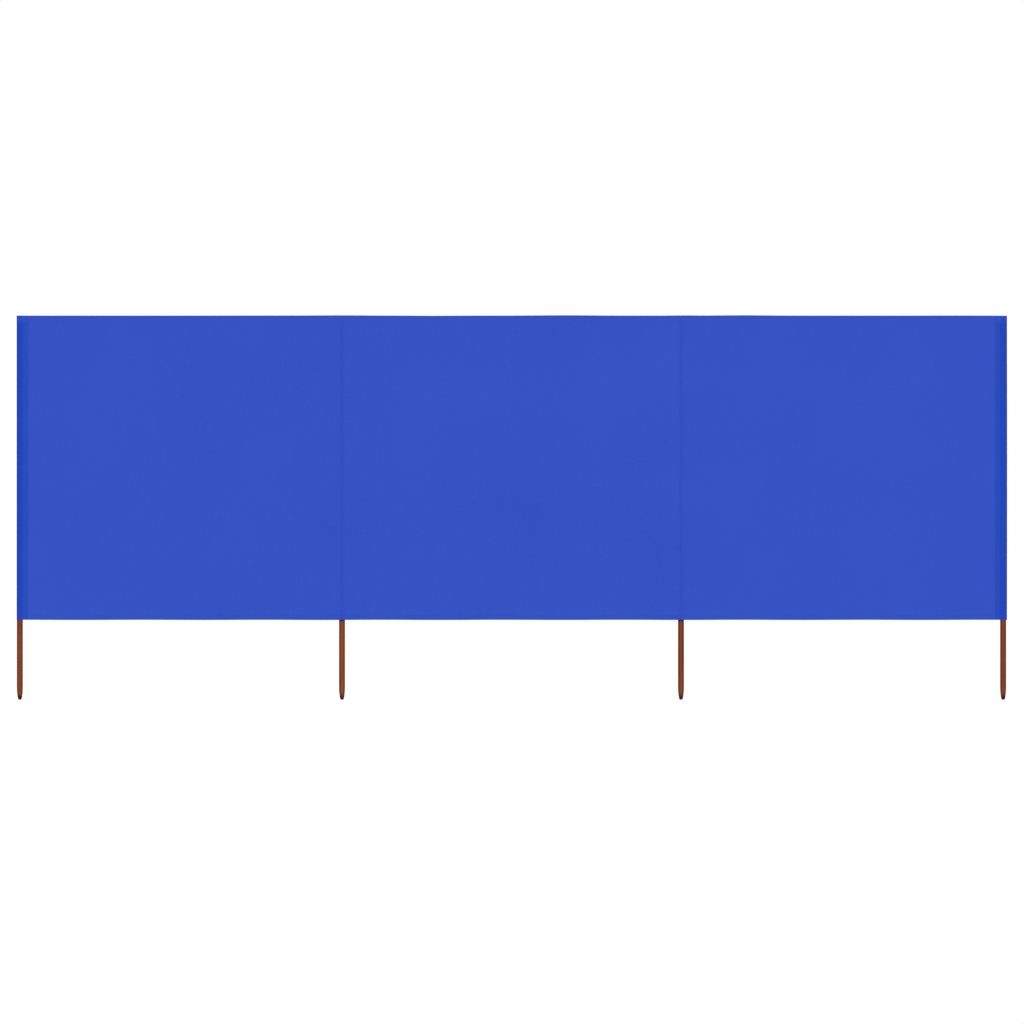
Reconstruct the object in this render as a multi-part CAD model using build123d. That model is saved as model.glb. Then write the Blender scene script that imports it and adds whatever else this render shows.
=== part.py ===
# A beach windbreak: one long strip of cloth in three bays, held upright by four round wooden
# poles that are pushed into the sand.
#
# Units are millimetres. X runs along the windbreak, the front looks towards -Y, Z is up.
# The origin is at the centre of the flat foot of pole 2, the second pole from the left.
# The end poles stand in sleeves at the ends of the cloth. The two middle poles stand behind
# the cloth, in sleeves made from a tuck of it, and the cloth folds beside those sleeves.

import os

from build123d import *

# Bays, between pole centres
outer_bay = 1302.0
middle_bay = 1370.0

# Heights
cloth_height = 1230.0
pole_showing = 322.0

# Poles
pole_diameter = 24.0
point_length = 50.0
shoulder_radius = 8.0
shoulder_height = 7.0
foot_radius = 4.0
head_round = 4.0

# Cloth and its seams
cloth_thickness = 1.0
sleeve_clearance = 0.3
crease_radius = 0.1
sleeve_reach = 32.0
sleeve_seam = 10.0
tuck_reach = 17.0
tuck_seam = 2.0
hem_height = 18.0
crown_slope = 20.0
crown_seam = 10.0

# Fold lines, where an outer bay turns beside the sleeve of a middle pole
fold_offset = 34.5
fold_gap = 0.55
hem_setback = 8.5

# Places that follow from these sizes
pole_radius = pole_diameter / 2
sleeve_inside = pole_radius + sleeve_clearance
sleeve_outside = sleeve_inside + cloth_thickness
tuck_end = tuck_reach + tuck_seam
cloth_back = -tuck_end
cloth_middle = cloth_back - cloth_thickness / 2
cloth_bottom = pole_showing
cloth_top = cloth_bottom + cloth_height
crown_top = cloth_top - crown_seam
crown_foot = crown_top - crown_slope
pole_top = crown_foot
sleeve_end = sleeve_reach + sleeve_seam
fold_pitch = cloth_thickness + fold_gap
left_end = -outer_bay
middle_of_windbreak = Plane.YZ.offset(middle_bay / 2)


def upright(outline, bottom, top):
    """A solid with this outline in plan, between two heights."""
    return extrude(Pos(0, 0, bottom) * outline, top - bottom, dir=(0, 0, 1))


def seen_from_the_end(points, reach):
    """A prism along X, to both sides of the origin, from points given as (y, z)."""
    return extrude(Plane.YZ * Polygon(*points, align=None), reach, both=True)


def seen_from_the_front(points, reach):
    """A prism along Y, to both sides of the origin, from points given as (x, z)."""
    return extrude(Plane.XZ * Polygon(*points, align=None), reach, both=True)


def pole():
    """A turned pole: blunt point with a small flat foot, straight shank, rounded head."""
    shank_foot = (pole_radius, point_length)
    shank_head = (pole_radius, pole_top - head_round)
    shoulder = (shoulder_radius, shoulder_height)
    taper = TangentArc(shank_foot, shoulder, tangent=(0, -1))
    nose = TangentArc(shoulder, (foot_radius, 0), tangent=taper % 1)
    head = JernArc(shank_head, (0, 1), head_round, 90)
    outline = Curve() + [
        Line(shank_head, shank_foot),
        taper,
        nose,
        Line(nose @ 1, (0, 0)),
        Line((0, 0), (0, pole_top)),
        Line((0, pole_top), head @ 1),
        head,
    ]
    return revolve(Plane.XZ * make_face(outline), Axis.Z)


def drawn_round(pole_side, seam_side, seam):
    """Outline, in plan, of cloth drawn straight from round a pole to its seam.

    The cloth lies at the radius pole_side about the pole, and seam_side about the seam.
    """
    return make_hull(Circle(pole_side).edges() + (Pos(*seam) * Circle(seam_side)).edges())


def end_sleeve():
    """The sleeve of the left end pole, about that pole's axis.

    The cloth goes round the pole and back to a flat seam of two layers. Its open end is at
    the bottom. At the top the front and back slope together and are sewn flat.
    """
    seam = (sleeve_reach, cloth_thickness / 2)
    room = drawn_round(sleeve_inside, crease_radius, seam)
    outside = drawn_round(sleeve_outside, crease_radius + cloth_thickness, seam)
    flat_seam = Pos(sleeve_reach, cloth_thickness / 2) * Rectangle(
        sleeve_seam, 2 * cloth_thickness, align=(Align.MIN, Align.CENTER)
    )
    closed_outside = seen_from_the_end(
        [
            (-sleeve_outside, cloth_bottom),
            (sleeve_outside, cloth_bottom),
            (sleeve_outside, crown_foot),
            (cloth_thickness * 3 / 2, crown_top),
            (cloth_thickness * 3 / 2, cloth_top),
            (-cloth_thickness / 2, cloth_top),
            (-cloth_thickness / 2, crown_top),
            (-sleeve_outside, crown_foot),
        ],
        sleeve_end,
    )
    closed_room = seen_from_the_end(
        [
            (-sleeve_inside, 0),
            (sleeve_inside, 0),
            (sleeve_inside, crown_foot),
            (cloth_thickness / 2 + crease_radius, crown_top),
            (cloth_thickness / 2 - crease_radius, crown_top),
            (-sleeve_inside, crown_foot),
        ],
        sleeve_end,
    )
    cloth = upright(outside + flat_seam, cloth_bottom, cloth_top) & closed_outside
    return cloth - (upright(room, 0, cloth_top) & closed_room)


def tuck_sleeve():
    """The sleeve of a middle pole, about that pole's axis.

    A tuck of the cloth goes round the back of the pole. Its two sides are sewn together just
    behind the sheet, so that the front shows a single seam, and the hems run through it. It
    is open at the bottom. At the top its two sides slope together and are sewn flat.
    """
    seam = (0, -tuck_reach)
    room = drawn_round(sleeve_inside, crease_radius, seam)
    outside = drawn_round(sleeve_outside, crease_radius + cloth_thickness, seam)
    flat_seam = Pos(*seam) * Rectangle(
        2 * cloth_thickness, tuck_seam, align=(Align.CENTER, Align.MAX)
    )
    closed_outside = seen_from_the_front(
        [
            (-sleeve_outside, cloth_bottom),
            (sleeve_outside, cloth_bottom),
            (sleeve_outside, crown_foot),
            (cloth_thickness, crown_top),
            (cloth_thickness, cloth_top),
            (-cloth_thickness, cloth_top),
            (-cloth_thickness, crown_top),
            (-sleeve_outside, crown_foot),
        ],
        tuck_end,
    )
    closed_room = seen_from_the_front(
        [
            (-sleeve_inside, 0),
            (sleeve_inside, 0),
            (sleeve_inside, crown_foot),
            (crease_radius, crown_top),
            (-crease_radius, crown_top),
            (-sleeve_inside, crown_foot),
        ],
        tuck_end,
    )
    cloth = upright(outside + flat_seam, cloth_bottom, cloth_top) & closed_outside
    cloth -= upright(room, 0, cloth_top) & closed_room
    for bottom in (cloth_bottom, cloth_top - hem_height):
        cloth -= hem(-sleeve_outside, sleeve_outside, bottom)
    return cloth


def sheet(start, end, rounded):
    """A flat sheet of cloth between two places along X, with the named edges rounded."""
    outline = Pos(start, cloth_middle) * Rectangle(
        end - start, cloth_thickness, align=(Align.MIN, Align.CENTER)
    )
    for edge in rounded:
        outline += Pos(edge, cloth_middle) * Circle(cloth_thickness / 2)
    return upright(outline, cloth_bottom, cloth_top)


def hem(start, end, bottom):
    """A turned-over edge on the back of the sheet."""
    outline = Pos(start, cloth_back) * Rectangle(
        end - start, cloth_thickness, align=(Align.MIN, Align.MIN)
    )
    return upright(outline, bottom, bottom + hem_height)


def outer_bay_pieces():
    """The left outer bay's pole and cloth, by name. The right bay mirrors them."""
    seam = left_end + sleeve_end
    fold = -fold_offset - fold_pitch
    hem_end = -fold_offset - hem_setback
    at_the_pole = Pos(left_end, cloth_middle)
    return {
        "pole": at_the_pole * pole(),
        "sleeve": at_the_pole * end_sleeve(),
        "panel": sheet(seam, fold, [fold]),
        "top_hem": hem(seam, hem_end, cloth_top - hem_height),
        "bottom_hem": hem(seam, hem_end, cloth_bottom),
    }


pieces = {}
for name, piece in outer_bay_pieces().items():
    mirrored = mirror(piece, about=middle_of_windbreak)
    if name == "pole":
        pieces["pole_1"] = piece
        pieces["pole_4"] = mirrored
    else:
        pieces["left_" + name] = piece
        pieces["right_" + name] = mirrored

for number, place in [(2, 0), (3, middle_bay)]:
    pieces[f"pole_{number}"] = Pos(place) * pole()
    pieces[f"pole_{number}_sleeve"] = Pos(place) * tuck_sleeve()

folds = [-fold_offset, middle_bay + fold_offset]
hem_ends = [-fold_offset + hem_setback, middle_bay + fold_offset - hem_setback]
pieces["middle_panel"] = sheet(*folds, folds)
pieces["middle_top_hem"] = hem(*hem_ends, cloth_top - hem_height)
pieces["middle_bottom_hem"] = hem(*hem_ends, cloth_bottom)

os.makedirs("parts", exist_ok=True)
for name, piece in pieces.items():
    export_step(piece, f"parts/{name}.step")
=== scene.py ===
"""A beach windbreak: three bays of blue cloth on four stained wooden poles, dressed round its CAD frame.

Metres, in the CAD's frame: X along the windbreak, the front looks towards -Y, Z is up, and the
origin is at the foot of pole 2. The cloth is thin sheets laid by vertex moves, with real folds
at its hems, sleeves and tucks, and sewn with one thread stitch that is copied along each seam.
"""

import math

import bpy
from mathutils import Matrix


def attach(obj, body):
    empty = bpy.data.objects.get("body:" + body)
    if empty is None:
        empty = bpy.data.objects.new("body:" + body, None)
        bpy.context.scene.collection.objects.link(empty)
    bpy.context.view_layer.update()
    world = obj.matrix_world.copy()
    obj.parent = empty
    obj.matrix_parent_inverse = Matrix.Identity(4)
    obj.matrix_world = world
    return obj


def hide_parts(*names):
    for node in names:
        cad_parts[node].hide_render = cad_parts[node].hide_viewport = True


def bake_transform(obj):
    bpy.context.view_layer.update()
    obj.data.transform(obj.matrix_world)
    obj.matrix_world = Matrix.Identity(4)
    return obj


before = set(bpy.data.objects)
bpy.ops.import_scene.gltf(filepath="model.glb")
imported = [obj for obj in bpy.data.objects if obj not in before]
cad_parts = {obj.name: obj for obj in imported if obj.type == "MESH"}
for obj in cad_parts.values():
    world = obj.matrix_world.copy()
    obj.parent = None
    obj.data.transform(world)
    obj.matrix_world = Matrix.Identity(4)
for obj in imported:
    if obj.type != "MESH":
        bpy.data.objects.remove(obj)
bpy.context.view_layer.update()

MM = 0.001

# Places that the CAD gives
POLE_RADIUS = 12 * MM
POLE_TOP = 1522 * MM
POLE_X = {1: -1302 * MM, 2: 0.0, 3: 1370 * MM, 4: 2672 * MM}
MIDDLE_POLES = (2, 3)
SHEET_Y = -19.5 * MM
CLOTH_BOTTOM = 322 * MM
CLOTH_TOP = 1552 * MM
HEM_HEIGHT = 18 * MM
SLEEVE_REACH = 32 * MM
SLEEVE_END = 42 * MM
TUCK_REACH = 17 * MM
CROWN_TOP = 1542 * MM
FOLD_OFFSET = 34.5 * MM
FOLD_X = {"left": POLE_X[2] - FOLD_OFFSET, "right": POLE_X[3] + FOLD_OFFSET}

# Each bay's cloth runs from an end sleeve's edge or a middle pole's axis to the next
BAYS = {
    "left": (POLE_X[1] + SLEEVE_END, POLE_X[2]),
    "middle": (POLE_X[2], POLE_X[3]),
    "right": (POLE_X[3], POLE_X[4] - SLEEVE_END),
}

# How much redder and deeper its stain leaves each pole, and the body that it rides on
POLE_STAIN = {1: 0.6, 2: 0.1, 3: 0.5, 4: 0.7}
POLE_BODY = {1: "left_bay", 2: "middle_bay", 3: "middle_bay", 4: "right_bay"}

# The cloth: its thickness, the step from layer to layer, its middle's radius round a pole, the
# radius of its turn into a tuck and half the step between a tuck's two walls
CLOTH = 0.5 * MM
LAYER = 0.55 * MM
SLEEVE_RADIUS = 12.6 * MM
CREASE = 0.6 * MM
HALF_SEAM = 0.28 * MM

# Where the sheet stops inside its hems, and where the hems stop beside a tuck
EDGE_ROOM = LAYER + CLOTH / 2
TUCK_ROOM = 1.6 * MM

# The cloth's columns lie closer over this much on each side of a fold line
FOLD_REACH = 7 * MM

# How far each end sleeve stands off its pole's outer side at mid height
END_SLACK = {"left": 0.0, "right": 3.3 * MM}

# Painted shade: how much the cloth's colour is deepened where something lies right behind it, up to 1 for a
# pole that it is drawn round, in place of the light that the pole and extra layers hold back
PAINTED_SHADE_DEPTH = {"hem": 0.15, "middle_pole": 0.12, "seam_layers": 0.42, "gathers": 0.6, "tuck": 0.6}

# The top edge's even rise in millimetres, and its waves: where each is and how far it spreads, in
# metres, and its height in millimetres
TOP_RISE = 0.3
TOP_WAVES = (
    (-1.31, 0.03, 0.4),
    (-0.28, 0.22, 0.4),
    (0.0, 0.13, 1.0),
    (0.37, 0.09, -0.7),
    (0.90, 0.15, 1.3),
    (1.38, 0.06, 0.8),
    (1.62, 0.13, 1.3),
    (2.48, 0.12, 0.4),
    (2.67, 0.03, -0.5),
)

# The scallops of the lower edge: where one hangs lowest and how far on the next does, in metres,
# and their middle and depth in millimetres
SCALLOP_X = 0.4
SCALLOP_PITCH = 0.485
SCALLOP_RISE = 0.5
SCALLOP_DEPTH = 0.4

# How deep a bay's belly, its hems' waves and the puckers at its stitches and seams are, in millimetres
BELLY = 3.4
HEM_WAVE = 0.45
HEM_PUCKER = 0.22
SEAM_PUCKER = 0.2

# How far from a seam the cloth first sways freely, and where a seam's puckers are deepest
FREE_REACH = 0.22
PUCKER_REACH = 9 * MM

# The slanting waves that run over a bay: depth in millimetres, length in metres, slant and phase
SLANTING_WAVES = (
    (1.3, 0.62, 0.30, 0.8),
    (0.9, 0.41, -0.45, 2.1),
)

# How closely the cloth's columns and rows lie, and how far the closer ones beside a tuck go
COLUMN_STEP = 8 * MM
TUCK_STEP = 3 * MM
TUCK_SPAN = 24 * MM
FOLD_STEP = 1 * MM
ROW_STEP = 11 * MM

# The one stitch, and how far it stands proud of the cloth that it is drawn into
STITCH_PITCH = 4.0 * MM
STITCH_LENGTH = 3.0 * MM
THREAD = 0.65 * MM
PROUD = 0.04 * MM

# Where the rows of stitches lie, and how far short of a piece's edges they stop
STITCH_Z = {"top": CLOTH_TOP - HEM_HEIGHT + 3 * MM, "bottom": CLOTH_BOTTOM + HEM_HEIGHT - 3 * MM}
CROWN_STITCH_Z = CLOTH_TOP - 4 * MM
ROW_MARGIN = 2 * MM

# The dip that a hem's stitches draw the sheet into
DIMPLE_DEPTH = 0.22 * MM
DIMPLE_SPREAD = 2.2 * MM

# The photograph's frame, square on: metres across it, and the place at its centre
FRAME_WIDTH = 4.1386
FRAME_CENTRE = (0.6870, 0.7586)

# The stage: the middle of the windbreak, the floor's width, and how far off lamps and camera are
MIDDLE_X = (POLE_X[1] + POLE_X[4]) / 2
FLOOR_SIZE = 60
LAMP_HEIGHT = 4
CAMERA_DISTANCE = 8
CAMERA_REACH = 40


# Small helpers


def deselect():
    if bpy.context.object and bpy.context.object.mode != "OBJECT":
        bpy.ops.object.mode_set(mode="OBJECT")
    bpy.ops.object.select_all(action="DESELECT")


def pick(piece):
    deselect()
    piece.select_set(True)
    bpy.context.view_layer.objects.active = piece


def apply_modifier(piece, kind, **settings):
    pick(piece)
    modifier = piece.modifiers.new(kind.lower(), kind)
    for key, value in settings.items():
        setattr(modifier, key, value)
    bpy.ops.object.modifier_apply(modifier=modifier.name)


def settle(piece, smooth_angle=40):
    """Puts the piece's place into its mesh and smooths it."""
    pick(piece)
    bpy.ops.object.transform_apply(location=True, rotation=True, scale=True)
    bpy.ops.object.shade_smooth_by_angle(angle=math.radians(smooth_angle))


def join(pieces, name):
    """Makes one piece of several and settles it."""
    deselect()
    for piece in pieces:
        piece.select_set(True)
    bpy.context.view_layer.objects.active = pieces[0]
    bpy.ops.object.join()
    pieces[0].name = name
    pieces[0].data.name = name
    settle(pieces[0])
    return pieces[0]


def ramp(value, start, end):
    """0 before start, 1 after end, smooth between."""
    t = min(max((value - start) / (end - start), 0.0), 1.0)
    return t * t * (3 - 2 * t)


def wave(run, length, phase):
    """A wave from -1 to 1 that comes round once in each length."""
    return math.sin(2 * math.pi * run / length + phase)


def steps(start, end, step):
    """Even places from start to end, both included, about a step apart."""
    count = max(1, round(abs(end - start) / step))
    return [start + (end - start) * i / count for i in range(count + 1)]


def line_points(a, b, count):
    """Points from a to b, both included, count steps apart."""
    return [(a[0] + (b[0] - a[0]) * i / count, a[1] + (b[1] - a[1]) * i / count) for i in range(count + 1)]


def round_arc(radius, start, end, count):
    """Points on a circle about the pole's axis, between two angles in degrees."""
    return [
        (radius * math.cos(math.radians(angle)), radius * math.sin(math.radians(angle)))
        for angle in steps(start, end, abs(end - start) / count)
    ]


def run_lengths(points):
    """How far along a line each of its points is."""
    runs = [0.0]
    for here, ahead in zip(points, points[1:]):
        runs.append(runs[-1] + math.dist(here, ahead))
    return runs


# How the taut cloth stands


def bay_share(x):
    """Which bay x is in, and how far across it, from 0 to 1."""
    for name, (start, end) in BAYS.items():
        if start <= x <= end:
            return name, (x - start) / (end - start)
    return None, 0.0


def height_share(z):
    """How far up the cloth a height is, from 0 to 1."""
    return (z - CLOTH_BOTTOM) / (CLOTH_TOP - CLOTH_BOTTOM)


def top_line(x):
    """How far the top edge stands above its straight line: a few long, low waves between the seams."""
    rise = TOP_RISE
    for centre, spread, height in TOP_WAVES:
        rise += height * math.exp(-(((x - centre) / spread) ** 2))
    return rise * MM


def bottom_line(x):
    """How far the lower edge stands above its straight line, in low scallops half a metre long."""
    return (SCALLOP_RISE - SCALLOP_DEPTH * math.cos(2 * math.pi * (x - SCALLOP_X) / SCALLOP_PITCH)) * MM


def lifted(x, z):
    """A point's height once its edge is waved. The waves die out towards the other edge."""
    share = height_share(z)
    return z + top_line(x) * share ** 2 + bottom_line(x) * (1 - share) ** 2


def pucker(run, phase):
    """The small uneven gathers beside a row of stitches, from -1 to 1."""
    return 0.6 * wave(run, 0.033, phase) + 0.4 * wave(run, 0.052, 2.7 * phase)


def drag(z, phase):
    """Small uneven pulls along a sleeve, in metres."""
    return 0.35 * MM * (wave(z, 0.173, phase) + 0.7 * wave(z, 0.071, 2.3 * phase))


def stand(x, y, z):
    """Where a point of the flat cloth stands: bellied and rippled a little, with both its edges waved."""
    bay, share = bay_share(x)
    if bay is None:
        return (x, y, lifted(x, z))
    height = height_share(z)
    from_middle = abs(height - 0.5)
    from_seam = min(share, 1 - share) * (BAYS[bay][1] - BAYS[bay][0])
    sway = BELLY * math.sin(math.pi * share) * (0.5 + 0.5 * math.sin(math.pi * height))
    for depth, length, slant, phase in SLANTING_WAVES:
        sway += depth * math.sin(2 * math.pi * (x / length + slant * z) + phase)
    # The hems wave over the last eighth of the height, and pucker over the last 34 mm
    sway += HEM_WAVE * wave(x, 0.115, 1.3) * ramp(from_middle, 0.38, 0.5)
    sway += HEM_PUCKER * pucker(x, 0.4 if height > 0.5 else 1.9) * ramp(from_middle, 0.472, 0.492)
    sway *= ramp(from_seam, 0.0, FREE_REACH)
    beside_seam = from_seam / PUCKER_REACH * math.exp(1 - from_seam / PUCKER_REACH)
    sway += SEAM_PUCKER * beside_seam * pucker(z, 0.9 if share < 0.5 else 2.2)
    return (x, y + sway * MM, lifted(x, z))


# Cloth pieces


def cloth_sheet(name, across, along, place, painted_shade):
    """A thin sheet: a grid laid where place(a, b) says, then given the cloth's thickness.

    Its UV map is in metres along the cloth, so thread sizes in its material are real ones. Its
    painted_shade attribute is painted shade: how much lies right behind the cloth, from 0 to 1 over a pole,
    which the material turns into a deeper colour.
    """
    deselect()
    columns, rows = len(across) - 1, len(along) - 1
    bpy.ops.mesh.primitive_grid_add(x_subdivisions=columns, y_subdivisions=rows, size=2)
    sheet = bpy.context.object
    sheet.name = name
    mesh = sheet.data
    mesh.name = name
    spots = []
    for vertex in mesh.vertices:
        a = round((vertex.co.x + 1) / 2 * columns)
        b = round((vertex.co.y + 1) / 2 * rows)
        spots.append((a, b))
    points = {(a, b): place(across[a], along[b]) for a, b in spots}
    behind = mesh.attributes.new("painted_shade", "FLOAT", "POINT")
    for vertex, (a, b) in zip(mesh.vertices, spots):
        vertex.co = points[(a, b)]
        behind.data[vertex.index].value = painted_shade(across[a], along[b])
    u_run = run_lengths([points[(a, rows // 2)] for a in range(columns + 1)])
    v_run = run_lengths([points[(columns // 2, b)] for b in range(rows + 1)])
    layer = mesh.uv_layers[0]
    layer.name = "cloth_metres"
    for loop in mesh.loops:
        a, b = spots[loop.vertex_index]
        layer.data[loop.index].uv = (u_run[a], v_run[b])
    apply_modifier(sheet, "SOLIDIFY", thickness=CLOTH, offset=0.0, use_even_offset=True)
    settle(sheet)
    return sheet


def panel_columns(start, end, finer):
    """Places across a bay, and closer ones over each finer stretch: (from, to, step)."""
    places = set(round(x, 5) for x in steps(start, end, COLUMN_STEP))
    for low, high, step in finer:
        places = {x for x in places if not low < x < high}
        places |= {round(x, 5) for x in steps(low, high, step)}
    return sorted(places)


def fold_stretch(bay):
    """The finer stretch of columns about an outer bay's fold line."""
    if bay == "middle":
        return []
    return [(FOLD_X[bay] - FOLD_REACH, FOLD_X[bay] + FOLD_REACH, FOLD_STEP)]


def panel_rows():
    """Heights up the sheet, closer where the stitches draw it in."""
    rows = set(steps(CLOTH_BOTTOM + EDGE_ROOM, CLOTH_TOP - EDGE_ROOM, ROW_STEP))
    for middle in STITCH_Z.values():
        rows = {z for z in rows if abs(z - middle) > 9 * MM}
        rows |= {middle + offset * MM for offset in (-7, -4, -2, -1, 0, 1, 2, 4, 7)}
    return sorted(rows)


def crease_back(seam, side):
    """The sheet's edge, turning back into a tuck: (x, y) points from the flat sheet to the seam."""
    points = []
    for turn in steps(0, 90, 15):
        sweep = math.radians(turn)
        x = seam + side * (HALF_SEAM + CREASE * (1 - math.sin(sweep)))
        points.append((x, SHEET_Y + CREASE * (1 - math.cos(sweep))))
    return points


def sheet_dimple(z):
    """The sheet is drawn in a little along the hem's stitches."""
    nearest = min(abs(z - middle) for middle in STITCH_Z.values())
    return DIMPLE_DEPTH * math.exp(-((nearest / DIMPLE_SPREAD) ** 2))


def bay_cloth(bay):
    """A bay's sheet, from one seam to the next. At a middle pole its edge turns back into the tuck."""
    start, end = BAYS[bay]
    flat_start, flat_end = start, end
    finer = fold_stretch(bay)
    if bay != "left":
        flat_start = start + (HALF_SEAM + CREASE)
        finer.append((flat_start, flat_start + TUCK_SPAN, TUCK_STEP))
    if bay != "right":
        flat_end = end - (HALF_SEAM + CREASE)
        finer.append((flat_end - TUCK_SPAN, flat_end, TUCK_STEP))
    plan = [(x, SHEET_Y) for x in panel_columns(flat_start, flat_end, finer)]
    if bay != "left":
        plan = crease_back(start, 1)[:0:-1] + plan
    if bay != "right":
        plan = plan + crease_back(end, -1)[1:]

    def place(spot, z):
        x, y = plan[spot]
        return stand(x, y + sheet_dimple(z), z)

    def painted_shade(spot, z):
        x = plan[spot][0]
        # Painted shade: a little over the hems' extra layers, and a faint deeper stripe where a middle pole
        # stands behind the sheet
        over_hem = max(
            ramp(z, CLOTH_TOP - HEM_HEIGHT - 2 * MM, CLOTH_TOP - HEM_HEIGHT + 2 * MM),
            1 - ramp(z, CLOTH_BOTTOM + HEM_HEIGHT - 2 * MM, CLOTH_BOTTOM + HEM_HEIGHT + 2 * MM),
        )
        over_pole = max(1 - ramp(abs(x - POLE_X[pole]), 6 * MM, 14 * MM) for pole in MIDDLE_POLES)
        return max(PAINTED_SHADE_DEPTH["hem"] * over_hem, PAINTED_SHADE_DEPTH["middle_pole"] * over_pole)

    return cloth_sheet(f"{bay}_bay_cloth", range(len(plan)), panel_rows(), place, painted_shade)


def hem_path(edge):
    """The hem's fold, as (y, z) points from the front round the edge and down the back, turned under."""
    turn_centre = CLOTH_TOP - CLOTH / 2 - LAYER
    points = []
    for turn in steps(0, 180, 22.5):
        sweep = math.radians(turn)
        points.append((LAYER * (1 - math.cos(sweep)), turn_centre + LAYER * math.sin(sweep)))
    foot = CLOTH_TOP - HEM_HEIGHT + CLOTH
    for z in (STITCH_Z["top"] + 8 * MM, STITCH_Z["top"] + 3 * MM, STITCH_Z["top"], foot):
        points.append((2 * LAYER, z))
    for turn in steps(45, 180, 45):
        sweep = math.radians(turn)
        points.append((LAYER * (1.5 + 0.5 * math.cos(sweep)), foot - LAYER / 2 * math.sin(sweep)))
    # Turned under, the raw edge runs back up for 7 mm
    points.append((LAYER, foot + 7 * MM))
    if edge == "top":
        return points
    return [(y, CLOTH_TOP + CLOTH_BOTTOM - z) for y, z in reversed(points)]


def hem_fold(bay, edge):
    """The turned-over edge of a bay's cloth."""
    start, end = BAYS[bay]
    first = start if bay == "left" else start + TUCK_ROOM
    last = end if bay == "right" else end - TUCK_ROOM
    columns = panel_columns(first, last, fold_stretch(bay))
    path = hem_path(edge)

    def place(x, spot):
        y, z = path[spot]
        return stand(x, SHEET_Y + y, z)

    def painted_shade(x, spot):
        # Painted shade: a little deeper for the hem's extra layers
        return PAINTED_SHADE_DEPTH["hem"]

    return cloth_sheet(f"{bay}_{edge}_hem_fold", columns, range(len(path)), place, painted_shade)


def end_sleeve_plan():
    """The left end sleeve in plan, about its pole: back layer, round the pole, front layer."""
    turn = math.degrees(math.acos(SLEEVE_RADIUS / SLEEVE_REACH))
    wrap = round_arc(SLEEVE_RADIUS, turn, 360 - turn, count=30)
    back_seam = (SLEEVE_REACH, LAYER)
    front_seam = (SLEEVE_REACH, 0.0)
    plan = line_points((SLEEVE_END, LAYER), back_seam, count=3)
    plan += line_points(back_seam, wrap[0], count=7)[1:-1]
    plan += wrap
    plan += line_points(wrap[-1], front_seam, count=7)[1:]
    plan += line_points(front_seam, (SLEEVE_END, 0.0), count=3)[1:]
    return plan


def tuck_plan():
    """A middle pole's sleeve in plan, about its pole: from the seam round the back and to it again."""
    turn = math.degrees(math.acos(SLEEVE_RADIUS / TUCK_REACH))
    wrap = round_arc(SLEEVE_RADIUS, turn - 90, 270 - turn, count=34)
    right_side = [
        (HALF_SEAM, SHEET_Y + CREASE),
        (HALF_SEAM, -TUCK_REACH - 0.6 * MM),
        (HALF_SEAM + 0.1 * MM, -TUCK_REACH),
    ]
    left_side = [(-x, y) for x, y in reversed(right_side)]
    plan = right_side + line_points(right_side[-1], wrap[0], count=5)[1:-1]
    plan += wrap
    plan += line_points(wrap[-1], left_side[0], count=5)[1:-1] + left_side
    return plan


def crown_share(z):
    """How far the sleeve has closed over the pole's head: 0 below it, 1 where it is sewn flat.

    It closes gently at first, where it leaves the pole's rounded edge.
    """
    closing = POLE_TOP - 2 * MM
    share = min(max((z - closing) / (CROWN_TOP - closing), 0.0), 1.0)
    return share ** 1.35


def sleeve_rows():
    """Heights up a sleeve, closer where it closes over the pole's head."""
    rows = steps(CLOTH_BOTTOM, POLE_TOP - 4 * MM, step=15 * MM)
    rows += steps(POLE_TOP - 2 * MM, CROWN_TOP, step=2.2 * MM)
    rows += steps(CROWN_TOP + 2 * MM, CLOTH_TOP, step=4 * MM)
    return rows


def end_sleeve_place(plan, pole, side, slack):
    """Where the points of an end sleeve's plan stand at a height: place(spot, z)."""
    middle_y = LAYER / 2

    def place(spot, z):
        x, y = plan[spot]
        # Between the pole and the seam the cloth hangs free, and is pulled unevenly
        free = ramp(x, 2 * MM, 14 * MM) * (1 - ramp(x, 22 * MM, SLEEVE_REACH))
        y += math.copysign(1, y - middle_y) * free * drag(z, 1.0 if y < 0 else 2.6)
        # A slack sleeve stands off the pole's outer side, most of all at mid height
        bulge = 0.8 + 0.2 * math.sin(math.pi * height_share(z)) + 40 * drag(z, 4.1)
        x -= ramp(-x, -4 * MM, SLEEVE_RADIUS) * slack * bulge
        closed = crown_share(z)
        flat_layer = LAYER if y > middle_y else 0.0
        y = y * (1 - closed) + flat_layer * closed
        stands_at = POLE_X[pole] + side * x
        return (stands_at, SHEET_Y + y, lifted(stands_at, z))

    return place


def end_sleeve(name, pole, side, slack):
    """The cloth's end, drawn round an end pole. side is 1 at the left end and -1 at the right.

    slack is how far the sleeve stands off the pole's outer side where it is loosest, at mid height.
    """
    plan = end_sleeve_plan()
    order = range(len(plan)) if side == 1 else range(len(plan) - 1, -1, -1)
    place = end_sleeve_place(plan, pole, side, slack)

    def painted_shade(spot, z):
        # Painted shade: deepest where the pole lies behind the cloth, less deep over the seam's layers
        x = plan[spot][0]
        over_pole = 1 - ramp(x, 9 * MM, 15 * MM)
        over_seam = 1 - ramp(x, SLEEVE_REACH - 1 * MM, SLEEVE_END)
        # Above the pole's head there are only the gathered layers of the closed top, so the painted shade is
        # less deep there
        below_top = 1 - ramp(z, CROWN_TOP - 4 * MM, CLOTH_TOP - 2 * MM)
        deepest = PAINTED_SHADE_DEPTH["gathers"] + (1 - PAINTED_SHADE_DEPTH["gathers"]) * below_top
        return max(deepest * over_pole, PAINTED_SHADE_DEPTH["seam_layers"] * over_seam)

    return cloth_sheet(name, order, sleeve_rows(), place, painted_shade)


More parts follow.
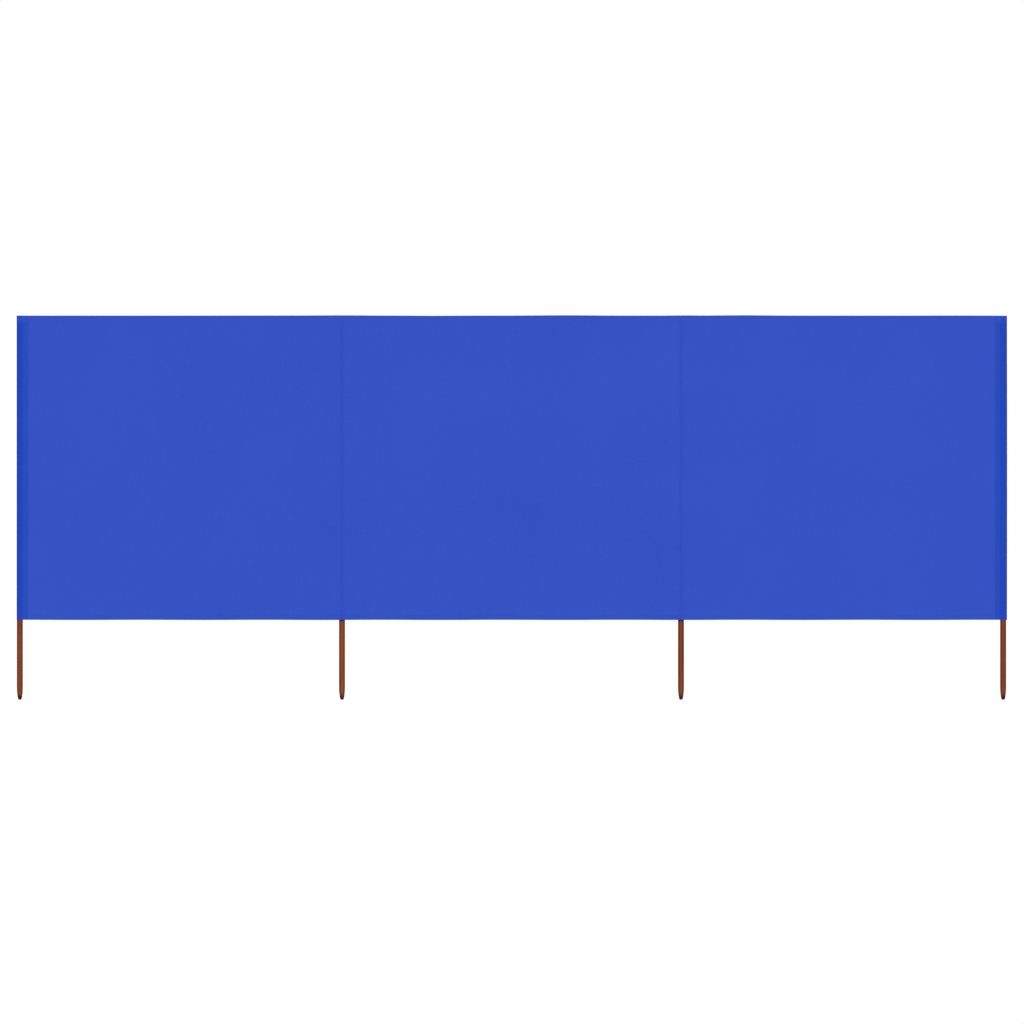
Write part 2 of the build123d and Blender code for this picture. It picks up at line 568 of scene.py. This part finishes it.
def tuck_place(plan, pole):
    """Where the points of a tuck's plan stand at a height: place(spot, z)."""

    def place(spot, z):
        x, y = plan[spot]
        free = ramp(abs(x), 1 * MM, 6 * MM) * (1 - ramp(y, -13 * MM, -7 * MM))
        x += math.copysign(1, x) * free * drag(z, pole)
        closed = crown_share(z)
        x = x * (1 - closed) + math.copysign(HALF_SEAM, x) * closed
        return (POLE_X[pole] + x, y, lifted(POLE_X[pole], z))

    return place


def tuck_sleeve(name, pole):
    """The tuck of cloth that holds a middle pole behind the sheet."""
    plan = tuck_plan()

    def painted_shade(spot, z):
        # Painted shade: the tuck's cloth is deepened evenly, for the pole inside it
        return PAINTED_SHADE_DEPTH["tuck"]

    return cloth_sheet(name, range(len(plan)), sleeve_rows(), tuck_place(plan, pole), painted_shade)


# Stitching


def one_stitch():
    """A stitch of thread: a small bead that dips into the cloth at both ends, along X."""
    deselect()
    bpy.ops.mesh.primitive_cylinder_add(
        vertices=6, radius=THREAD / 2, depth=STITCH_LENGTH, rotation=(0, math.pi / 2, 0)
    )
    stitch = bpy.context.object
    bpy.ops.object.transform_apply(rotation=True)
    bpy.ops.object.mode_set(mode="EDIT")
    for cut in (-0.5, 0.0, 0.5):
        bpy.ops.mesh.select_all(action="SELECT")
        bpy.ops.mesh.bisect(plane_co=(cut * STITCH_LENGTH * 0.6, 0, 0), plane_no=(1, 0, 0))
    bpy.ops.object.mode_set(mode="OBJECT")
    # Towards its ends the thread is nearly half as thick and half its thickness deeper
    for vertex in stitch.data.vertices:
        reach = abs(vertex.co.x) / (STITCH_LENGTH / 2)
        taper = 1 - 0.45 * reach ** 2
        flattened = 0.8 * taper
        vertex.co.y *= taper
        vertex.co.z = vertex.co.z * flattened - THREAD * 0.55 * reach ** 2
    return stitch


def sew(stitch, line, length):
    """A row of stitches. line(s) gives the point at s, its direction and the way out of the cloth."""
    pick(stitch)
    bpy.ops.object.duplicate()
    row = bpy.context.object
    count = max(1, int(length / STITCH_PITCH))
    first = (length - (count - 1) * STITCH_PITCH) / 2
    apply_modifier(
        row, "ARRAY", count=count, use_relative_offset=False, use_constant_offset=True,
        constant_offset_displace=(STITCH_PITCH, 0, 0),
    )
    for vertex in row.data.vertices:
        s, sideways, up = vertex.co
        number = round(s / STITCH_PITCH)
        along = s - number * STITCH_PITCH
        point, direction, outward = line(first + number * STITCH_PITCH)
        beside = (
            outward[1] * direction[2] - outward[2] * direction[1],
            outward[2] * direction[0] - outward[0] * direction[2],
            outward[0] * direction[1] - outward[1] * direction[0],
        )
        vertex.co = [
            point[i] + along * direction[i] + sideways * beside[i] + up * outward[i] for i in range(3)
        ]
    return row


def hem_row(bay, edge, front):
    """The line of a hem's stitches, on the front of the sheet or on the hem's back."""
    start, end = BAYS[bay]
    z = STITCH_Z[edge]
    if front:
        y = SHEET_Y + sheet_dimple(z) - CLOTH / 2 - PROUD
        outward = (0, -1, 0)
    else:
        y = SHEET_Y + 2 * LAYER + CLOTH / 2 + PROUD
        outward = (0, 1, 0)

    def line(s):
        x = start + ROW_MARGIN + s
        point = stand(x, y, z)
        ahead = stand(x + 1 * MM, y, z)
        run = [ahead[i] - point[i] for i in range(3)]
        size = math.sqrt(sum(v * v for v in run))
        return point, [v / size for v in run], outward

    return line, end - start - 2 * ROW_MARGIN


def upright_row(x, y, outward, margin):
    """A row straight up the cloth, which stops a margin short of both its edges."""
    bottom = CLOTH_BOTTOM + margin

    def line(s):
        return (x, y, bottom + s), (0, 0, 1), outward

    return line, CLOTH_TOP - margin - bottom


def plan_row(place, z, first, last, side=1):
    """A level row on a sleeve's outside, along its plan between two of its points."""
    spots = [place(spot, z) for spot in range(first, last + 1)]
    runs = run_lengths(spots)

    def line(s):
        index = max(i for i in range(len(spots) - 1) if runs[i] <= s + 1e-9)
        here, ahead = spots[index], spots[index + 1]
        span = runs[index + 1] - runs[index]
        share = (s - runs[index]) / span
        direction = [(b - a) / span for a, b in zip(here, ahead)]
        outward = (side * direction[1], -side * direction[0], 0)
        lift = CLOTH / 2 + PROUD
        point = [a + (b - a) * share + lift * n for a, b, n in zip(here, ahead, outward)]
        return point, direction, outward

    return line, runs[-1]


def bay_stitching(stitch, bay):
    """A row along each of a bay's hems, on its front and on its back."""
    rows = []
    for edge in ("top", "bottom"):
        for front in (True, False):
            rows.append(sew(stitch, *hem_row(bay, edge, front)))
    return join(rows, f"{bay}_hem_stitching")


def end_stitching(stitch, name, pole, side, slack):
    """Two rows down the end sleeve's seam on both faces, one round its foot and one across its top."""
    front = SHEET_Y - CLOTH / 2 - PROUD
    back = SHEET_Y + LAYER + CLOTH / 2 + PROUD
    faces = ((front, (0, -1, 0)), (back, (0, 1, 0)))
    rows = []
    for reach in (SLEEVE_REACH + 1.5 * MM, SLEEVE_END - 2 * MM):
        for y, outward in faces:
            seam_row = upright_row(POLE_X[pole] + side * reach, y, outward, ROW_MARGIN)
            rows.append(sew(stitch, *seam_row))
    plan = end_sleeve_plan()
    place = end_sleeve_place(plan, pole, side, slack)
    rows.append(sew(stitch, *plan_row(place, STITCH_Z["bottom"], 1, len(plan) - 2, side)))
    for y, outward in faces:
        def across(s, y=y, outward=outward):
            x = POLE_X[pole] + side * (-SLEEVE_RADIUS + ROW_MARGIN + s)
            return (x, y, lifted(x, CROWN_STITCH_Z)), (1, 0, 0), outward

        rows.append(sew(stitch, across, SLEEVE_RADIUS + SLEEVE_REACH - ROW_MARGIN))
    return join(rows, name)


def tuck_stitching(stitch, name, pole):
    """The tuck's seam on both its sides, one row round the sleeve's foot and one across its top."""
    rows = []
    for side in (-1, 1):
        x = POLE_X[pole] + side * (HALF_SEAM + CLOTH / 2 + PROUD)
        outward = (side, 0, 0)
        seam_row = upright_row(x, -TUCK_REACH - 0.5 * MM, outward, margin=22 * MM)
        rows.append(sew(stitch, *seam_row))

        def across(s, x=x, outward=outward):
            return (x, SHEET_Y + 4 * MM + s, lifted(x, CROWN_STITCH_Z)), (0, 1, 0), outward

        rows.append(sew(stitch, across, SLEEVE_RADIUS - SHEET_Y - 6 * MM))
    plan = tuck_plan()
    rows.append(sew(stitch, *plan_row(tuck_place(plan, pole), STITCH_Z["bottom"], 4, len(plan) - 5)))
    return join(rows, name)


# Poles


def pole_profile():
    """(radius, height) from the flat foot up the blunt point, the shank and the rounded head."""
    foot, shoulder, shoulder_height, point, head = 4 * MM, 8 * MM, 7 * MM, 50 * MM, 4 * MM
    # The point swells out to the shank on one long arc, and a short one joins that to the flat foot
    fall = POLE_RADIUS - shoulder
    rise = point - shoulder_height
    taper = (fall ** 2 + rise ** 2) / (2 * fall)
    normal = (-(taper - fall) / taper, rise / taper)
    chord = (shoulder - foot, shoulder_height)
    nose = (chord[0] ** 2 + chord[1] ** 2) / (-2 * (normal[0] * chord[0] + normal[1] * chord[1]))
    centre = (shoulder + nose * normal[0], shoulder_height + nose * normal[1])
    profile = []
    for height in (0, 0.5, 1.2, 2.2, 3.5, 5.2, 7):
        z = height * MM
        profile.append((centre[0] + math.sqrt(nose ** 2 - (centre[1] - z) ** 2), z))
    for height in (9.5, 13, 17, 22, 28, 35, 42, 50):
        z = height * MM
        profile.append((POLE_RADIUS - taper + math.sqrt(taper ** 2 - (point - z) ** 2), z))
    for height in (120, 320, 700, 1100, 1400):
        profile.append((POLE_RADIUS, height * MM))
    for turn in steps(0, 90, 15):
        sweep = math.radians(turn)
        profile.append((POLE_RADIUS - head * (1 - math.cos(sweep)), POLE_TOP - head * (1 - math.sin(sweep))))
    return profile


def turned_pole(number, stain):
    """A pole drawn up ring by ring from its foot. More stain makes it redder and deeper."""
    x = POLE_X[number]
    y = 0.0 if number in MIDDLE_POLES else SHEET_Y
    profile = pole_profile()
    radius, height = profile[0]
    deselect()
    bpy.ops.mesh.primitive_circle_add(vertices=40, radius=radius, fill_type="NGON", location=(x, y, height))
    pole = bpy.context.object
    pole.name = f"turned_pole_{number}"
    pole.data.name = pole.name
    bpy.ops.object.mode_set(mode="EDIT")
    bpy.ops.mesh.select_mode(type="FACE")
    bpy.ops.mesh.select_all(action="SELECT")
    for next_radius, next_height in profile[1:]:
        bpy.ops.mesh.extrude_region_move(TRANSFORM_OT_translate={"value": (0, 0, next_height - height)})
        share = next_radius / radius
        bpy.ops.transform.resize(value=(share, share, 1), center_override=(x, y, next_height))
        radius, height = next_radius, next_height
    bpy.ops.mesh.select_all(action="SELECT")
    bpy.ops.mesh.normals_make_consistent(inside=False)
    bpy.ops.object.mode_set(mode="OBJECT")
    tone = pole.data.attributes.new("stain", "FLOAT", "POINT")
    for vertex in pole.data.vertices:
        tone.data[vertex.index].value = stain
    settle(pole, smooth_angle=50)
    return pole


# Materials


def linear(hex_colour):
    """An sRGB hex colour as linear RGBA."""
    values = [int(hex_colour[i:i + 2], 16) / 255 for i in (1, 3, 5)]
    return [v / 12.92 if v <= 0.04045 else ((v + 0.055) / 1.055) ** 2.4 for v in values] + [1.0]


def add(tree, kind, settings=None, inputs=None):
    """Adds a node. settings are its properties, inputs its socket values or the sockets linked to them."""
    node = tree.nodes.new(kind)
    for key, value in (settings or {}).items():
        setattr(node, key, value)
    for key, value in (inputs or {}).items():
        if isinstance(value, bpy.types.NodeSocket):
            tree.links.new(value, node.inputs[key])
        else:
            node.inputs[key].default_value = value
    return node


def new_material(name, **sockets):
    """A material with its node tree and shader. sockets are the shader's constant values."""
    material = bpy.data.materials.new(name)
    material.use_nodes = True
    shader = material.node_tree.nodes["Principled BSDF"]
    for key, value in sockets.items():
        shader.inputs[key.replace("_", " ")].default_value = value
    return material, material.node_tree, shader


def woven_polyester():
    """Plain-woven, piece-dyed polyester: matte, even in colour, with fine uneven threads both ways.

    The eye sees a flat royal blue, with painted shade making it a little deeper where a pole or more layers
    lie behind it.
    """
    material, tree, shader = new_material(
        "woven_polyester_royal_blue", Sheen_Weight=0.04, Sheen_Roughness=0.4, Specular_IOR_Level=0.2
    )
    metres = add(tree, "ShaderNodeUVMap", {"uv_map": "cloth_metres"}).outputs["UV"]
    place = add(tree, "ShaderNodeTexCoord").outputs["Object"]
    # The attribute that says how much painted shade deepens the blue
    painted_shade = add(tree, "ShaderNodeAttribute", {"attribute_name": "painted_shade"}).outputs["Fac"]
    # Uneven threads: streaks about 60 mm long and 1.6 mm wide, along the cloth and up it
    streaks = []
    for scale in ((16.0, 620.0, 1.0), (620.0, 16.0, 1.0)):
        lie = add(tree, "ShaderNodeMapping", {}, {"Vector": metres, "Scale": scale}).outputs["Vector"]
        streak = add(tree, "ShaderNodeTexNoise", {}, {"Vector": lie, "Scale": 1.0, "Detail": 2.0})
        streaks.append(streak.outputs["Fac"])
    slub = add(tree, "ShaderNodeMath", {"operation": "ADD"}, {0: streaks[0], 1: streaks[1]}).outputs["Value"]
    # The dye takes a little unevenly over half a metre
    dye = add(tree, "ShaderNodeTexNoise", {}, {"Vector": place, "Scale": 2.1, "Detail": 2.0}).outputs["Fac"]
    both = add(tree, "ShaderNodeMath", {"operation": "MULTIPLY_ADD"},
               {0: dye, 1: 0.5, 2: slub}).outputs["Value"]
    tone = add(tree, "ShaderNodeMapRange", {},
               {"Value": both, "From Min": 0.85, "From Max": 1.65}).outputs["Result"]
    single = add(tree, "ShaderNodeMix", {"data_type": "RGBA"},
                 {"Factor": tone, 6: linear("#2A4BBB"), 7: linear("#3253C3")}).outputs[2]
    # Painted shade: the blue deepens where a pole or more layers lie behind the cloth
    deep = add(tree, "ShaderNodeMix", {"data_type": "RGBA"},
               {"Factor": painted_shade, 6: single, 7: linear("#1843BA")}).outputs[2]
    # Plain weave: real threads lie about 0.4 mm apart, drawn four times as far so that they can show
    thread_pitch = 1.6 * MM
    parts = add(tree, "ShaderNodeSeparateXYZ", {}, {"Vector": metres}).outputs
    waves = []
    for axis in ("X", "Y"):
        turns = add(tree, "ShaderNodeMath", {"operation": "MULTIPLY"},
                    {0: parts[axis], 1: math.pi / thread_pitch}).outputs["Value"]
        waves.append(add(tree, "ShaderNodeMath", {"operation": "SINE"}, {0: turns}).outputs["Value"])
    weave = add(tree, "ShaderNodeMath", {"operation": "MULTIPLY"},
                {0: waves[0], 1: waves[1]}).outputs["Value"]
    # A painted highlight on the thread that lies on top, and painted shade in the dips between threads
    dips = add(tree, "ShaderNodeMapRange", {},
               {"Value": weave, "From Min": -1.0, "From Max": 1.0, "To Min": 0.88, "To Max": 1.12})
    woven = add(tree, "ShaderNodeVectorMath", {"operation": "SCALE"},
                {"Vector": deep, "Scale": dips.outputs["Result"]}).outputs["Vector"]
    tree.links.new(woven, shader.inputs["Base Color"])
    height = add(tree, "ShaderNodeMath", {"operation": "MULTIPLY_ADD"},
                 {0: slub, 1: 0.8, 2: weave}).outputs["Value"]
    bump = add(tree, "ShaderNodeBump", {}, {"Height": height, "Strength": 0.55, "Distance": 0.15 * MM})
    tree.links.new(bump.outputs["Normal"], shader.inputs["Normal"])
    rough = add(tree, "ShaderNodeMapRange", {},
                {"Value": slub, "From Min": 0.6, "From Max": 1.4, "To Min": 0.78, "To Max": 0.9})
    tree.links.new(rough.outputs["Result"], shader.inputs["Roughness"])
    return material


def sewing_thread():
    """Spun polyester thread in the cloth's blue, with a painted highlight a shade lighter in spots along its
    plies.
    """
    material, tree, shader = new_material(
        "spun_polyester_thread_blue", Sheen_Weight=0.08, Specular_IOR_Level=0.3
    )
    place = add(tree, "ShaderNodeTexCoord").outputs["Object"]
    # Two plies twisted about once a millimetre; the lighter blue along them is a painted highlight
    twist_and_glint = add(tree, "ShaderNodeTexNoise", {},
                {"Vector": place, "Scale": 1100.0, "Detail": 1.0}).outputs["Fac"]
    colour = add(tree, "ShaderNodeMix", {"data_type": "RGBA"},
                 {"Factor": twist_and_glint, 6: linear("#3353BE"), 7: linear("#4B69D6")}).outputs[2]
    tree.links.new(colour, shader.inputs["Base Color"])
    rough = add(tree, "ShaderNodeMapRange", {}, {"Value": twist_and_glint, "To Min": 0.6, "To Max": 0.8})
    tree.links.new(rough.outputs["Result"], shader.inputs["Roughness"])
    return material


def stained_pine():
    """Turned pine dowel with a red-brown stain that is rubbed in and left satin.

    The eye sees long grain up the pole, a painted highlight down its front as a broad pale band between
    painted shade at its sides, a warmer point where the turning cut it open, and a dark foot.
    """
    material, tree, shader = new_material("stained_pine_dowel", Specular_IOR_Level=0.14)
    place = add(tree, "ShaderNodeTexCoord").outputs["Object"]
    stain = add(tree, "ShaderNodeAttribute", {"attribute_name": "stain"}).outputs["Fac"]
    parts = add(tree, "ShaderNodeSeparateXYZ", {}, {"Vector": place}).outputs
    # Growth lines lie 2 to 3 mm apart and run up the pole for about 200 mm. Pores are about 0.4 mm
    # wide and 12 mm long. The stain is rubbed in unevenly over a hand's width. The trunk bends slowly.
    patterns = {
        "grain": ((430.0, 430.0, 5.0), 4.0, 0.4),
        "pores": ((2600.0, 2600.0, 80.0), 2.0, 0.0),
        "rubbing": ((40.0, 40.0, 9.0), 2.0, 0.0),
        "trunk": ((6.0, 6.0, 2.2), 2.0, 0.0),
    }
    wood = {}
    for name, (scale, detail, distortion) in patterns.items():
        lie = add(tree, "ShaderNodeMapping", {}, {"Vector": place, "Scale": scale}).outputs["Vector"]
        noise = add(tree, "ShaderNodeTexNoise", {},
                    {"Vector": lie, "Scale": 1.0, "Detail": detail, "Distortion": distortion})
        wood[name] = noise.outputs["Fac"]
    lines = add(tree, "ShaderNodeMapRange", {},
                {"Value": wood["grain"], "From Min": 0.36, "From Max": 0.64}).outputs["Result"]
    lined = add(tree, "ShaderNodeMix", {"data_type": "RGBA"},
                {"Factor": lines, 6: linear("#6F321B"), 7: linear("#904929")}).outputs[2]
    rubbed = add(tree, "ShaderNodeMapRange", {},
                 {"Value": wood["rubbing"], "From Min": 0.35, "From Max": 0.7, "To Max": 0.5})
    toned = add(tree, "ShaderNodeMix", {"data_type": "RGBA"},
                {"Factor": rubbed.outputs["Result"], 6: lined, 7: linear("#9A512B")}).outputs[2]
    in_pores = add(tree, "ShaderNodeMapRange", {},
                   {"Value": wood["pores"], "From Min": 0.46, "From Max": 0.34, "To Max": 0.55})
    pored = add(tree, "ShaderNodeMix", {"data_type": "RGBA"},
                {"Factor": in_pores.outputs["Result"], 6: toned, 7: linear("#471B0F")}).outputs[2]
    redder = add(tree, "ShaderNodeMix", {"data_type": "RGBA"},
                 {"Factor": stain, 6: pored, 7: linear("#6E2D12")}).outputs[2]
    # Painted highlight and shade, drawn as rings that lie flat across the dowel, one behind the other: a
    # broad pale band wanders down the front, where the light falls, with deeper ones at the sides, and the
    # turned point cuts across them. The phase puts the pale band on the front of every pole, as the outer
    # ones stand three rings further out.
    ring_pitch = 6.5 * MM
    front_band_phase = 4.471
    wander = 5 * MM
    depth = add(tree, "ShaderNodeMath", {"operation": "MULTIPLY_ADD"},
                {0: wood["trunk"], 1: wander, 2: parts["Y"]}).outputs["Value"]
    turns = add(tree, "ShaderNodeMath", {"operation": "MULTIPLY_ADD"},
                {0: depth, 1: 2 * math.pi / ring_pitch, 2: front_band_phase}).outputs["Value"]
    rings = add(tree, "ShaderNodeMath", {"operation": "SINE"}, {0: turns}).outputs["Value"]
    # Painted light: the pale band lightens each pole's front and the deeper ones shade its sides
    painted_front_light = add(tree, "ShaderNodeMapRange", {},
                    {"Value": rings, "From Min": -1.0, "From Max": 1.0, "To Min": 0.66, "To Max": 1.24})
    front_lit_wood = add(tree, "ShaderNodeVectorMath", {"operation": "SCALE"},
                 {"Vector": redder, "Scale": painted_front_light.outputs["Result"]}).outputs["Vector"]
    # The point is the lowest 50 mm
    at_point = add(tree, "ShaderNodeMapRange", {"interpolation_type": "SMOOTHSTEP"},
                   {"Value": parts["Z"], "From Min": 44 * MM, "From Max": 56 * MM,
                    "To Min": 0.45, "To Max": 0.0})
    pointed = add(tree, "ShaderNodeMix", {"data_type": "RGBA"},
                  {"Factor": at_point.outputs["Result"], 6: front_lit_wood, 7: linear("#7E4226")}).outputs[2]
    # The foot is darker up to 12 to 21 mm, its edge uneven with the grain
    foot_edge_height = add(tree, "ShaderNodeMath", {"operation": "MULTIPLY_ADD"},
                 {0: wood["grain"], 1: -12 * MM, 2: parts["Z"]}).outputs["Value"]
    at_foot = add(tree, "ShaderNodeMapRange", {"interpolation_type": "SMOOTHSTEP"},
                  {"Value": foot_edge_height, "From Min": 6 * MM, "From Max": 15 * MM,
                   "To Min": 0.85, "To Max": 0.0})
    footed = add(tree, "ShaderNodeMix", {"data_type": "RGBA"},
                 {"Factor": at_foot.outputs["Result"], 6: pointed, 7: linear("#2E140C")}).outputs[2]
    tree.links.new(footed, shader.inputs["Base Color"])
    rough = add(tree, "ShaderNodeMapRange", {},
                {"Value": wood["grain"], "From Min": 0.3, "From Max": 0.7, "To Min": 0.72, "To Max": 0.58})
    tree.links.new(rough.outputs["Result"], shader.inputs["Roughness"])
    relief = add(tree, "ShaderNodeMath", {"operation": "MULTIPLY_ADD"},
                 {0: wood["pores"], 1: 0.6, 2: wood["grain"]}).outputs["Value"]
    bump = add(tree, "ShaderNodeBump", {}, {"Height": relief, "Strength": 0.5, "Distance": 0.25 * MM})
    tree.links.new(bump.outputs["Normal"], shader.inputs["Normal"])
    return material


# The pieces

cloth_finish = woven_polyester()
thread_finish = sewing_thread()
wood_finish = stained_pine()


def finish_as(piece, material):
    piece.data.materials.clear()
    piece.data.materials.append(material)


def move_with_bay(piece, bay):
    """A bay's piece. The middle bay's rides on the middle bay's body; an outer bay's runs on to the middle
    pole and only has its place put into its mesh.
    """
    if bay == "middle":
        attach(piece, "middle_bay")
    else:
        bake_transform(piece)


stitch = one_stitch()

for bay, (start, end) in BAYS.items():
    cloth = bay_cloth(bay)
    finish_as(cloth, cloth_finish)
    move_with_bay(cloth, bay)
    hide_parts(f"{bay}_panel")
    on_the_cloth = []
    for edge in ("top", "bottom"):
        hem = hem_fold(bay, edge)
        finish_as(hem, cloth_finish)
        move_with_bay(hem, bay)
        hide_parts(f"{bay}_{edge}_hem")
        on_the_cloth.append(hem)
    thread = bay_stitching(stitch, bay)
    finish_as(thread, thread_finish)
    move_with_bay(thread, bay)
    on_the_cloth.append(thread)
    if bay != "middle":
        side, pole = (1, 1) if bay == "left" else (-1, 4)
        sleeve = end_sleeve(f"{bay}_end_sleeve", pole, side, END_SLACK[bay])
        finish_as(sleeve, cloth_finish)
        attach(sleeve, f"{bay}_bay")
        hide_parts(f"{bay}_sleeve")
        sleeve_thread = end_stitching(stitch, f"{bay}_sleeve_stitching", pole, side, END_SLACK[bay])
        finish_as(sleeve_thread, thread_finish)
        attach(sleeve_thread, f"{bay}_bay")
        on_the_cloth += [sleeve, sleeve_thread]

for pole in MIDDLE_POLES:
    sleeve = tuck_sleeve(f"pole_{pole}_tuck_sleeve", pole)
    finish_as(sleeve, cloth_finish)
    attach(sleeve, "middle_bay")
    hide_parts(f"pole_{pole}_sleeve")
    thread = tuck_stitching(stitch, f"pole_{pole}_tuck_stitching", pole)
    finish_as(thread, thread_finish)
    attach(thread, "middle_bay")

bpy.data.objects.remove(stitch)

for number, stain in POLE_STAIN.items():
    pole = turned_pole(number, stain)
    finish_as(pole, wood_finish)
    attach(pole, POLE_BODY[number])
    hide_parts(f"pole_{number}")


# Stage, light and camera


def plain_floor():
    deselect()
    bpy.ops.mesh.primitive_plane_add(size=FLOOR_SIZE, location=(MIDDLE_X, 0, 0))
    floor = bpy.context.object
    floor.name = "studio_floor"
    # Pale where it is looked at, and a mid grey in the light that it sends back up
    material, tree, shader = new_material("matte_pale_floor", Roughness=0.9, Specular_IOR_Level=0.1)
    seen = add(tree, "ShaderNodeLightPath").outputs["Is Camera Ray"]
    pale = add(tree, "ShaderNodeMix", {"data_type": "RGBA"},
               {"Factor": seen, 6: linear("#8C8C8C"), 7: linear("#F8F8F8")}).outputs[2]
    tree.links.new(pale, shader.inputs["Base Color"])
    floor.data.materials.append(material)
    settle(floor)


def wide_lamp(name, strength, azimuth, elevation, spread):
    """A wide, far lamp: even light from one side. azimuth 0 stands in front, 90 at the right."""
    deselect()
    turn = (math.radians(90 - elevation), 0, math.radians(azimuth))
    bpy.ops.object.light_add(type="SUN", location=(MIDDLE_X, 0, LAMP_HEIGHT), rotation=turn)
    lamp = bpy.context.object
    lamp.name = name
    lamp.data.energy = strength
    lamp.data.angle = math.radians(spread)


def studio_world(level):
    """An even light grey room for the object, and plain white where the camera looks past it."""
    world = bpy.data.worlds.new("studio_world")
    bpy.context.scene.world = world
    world.use_nodes = True
    tree = world.node_tree
    tree.nodes.clear()
    rays = add(tree, "ShaderNodeLightPath").outputs
    seen = add(tree, "ShaderNodeMath", {"operation": "MAXIMUM"},
               {0: rays["Is Camera Ray"], 1: rays["Is Glossy Ray"]}).outputs["Value"]
    seen = add(tree, "ShaderNodeMath", {"operation": "MAXIMUM"},
               {0: seen, 1: rays["Is Transmission Ray"]}).outputs["Value"]
    room = add(tree, "ShaderNodeBackground", {}, {"Color": (1, 1, 1, 1), "Strength": level})
    backdrop = add(tree, "ShaderNodeBackground", {}, {"Color": (1, 1, 1, 1), "Strength": 1.0})
    mixed = add(tree, "ShaderNodeMixShader", {},
                {0: seen, 1: room.outputs["Background"], 2: backdrop.outputs["Background"]})
    output = add(tree, "ShaderNodeOutputWorld")
    tree.links.new(mixed.outputs["Shader"], output.inputs["Surface"])


plain_floor()
studio_world(level=0.24)
wide_lamp("front_lamp", strength=2.78, azimuth=2, elevation=30, spread=20)
wide_lamp("back_lamp", strength=2.15, azimuth=165, elevation=32, spread=50)

bpy.ops.object.camera_add(
    location=(FRAME_CENTRE[0], -CAMERA_DISTANCE, FRAME_CENTRE[1]), rotation=(math.pi / 2, 0, 0)
)
camera = bpy.context.object
camera.name = "square_on_camera"
camera.data.type = "ORTHO"
camera.data.ortho_scale = FRAME_WIDTH
camera.data.clip_end = CAMERA_REACH
bpy.context.scene.camera = camera

scene_view = bpy.context.scene.view_settings
scene_view.view_transform = "Standard"
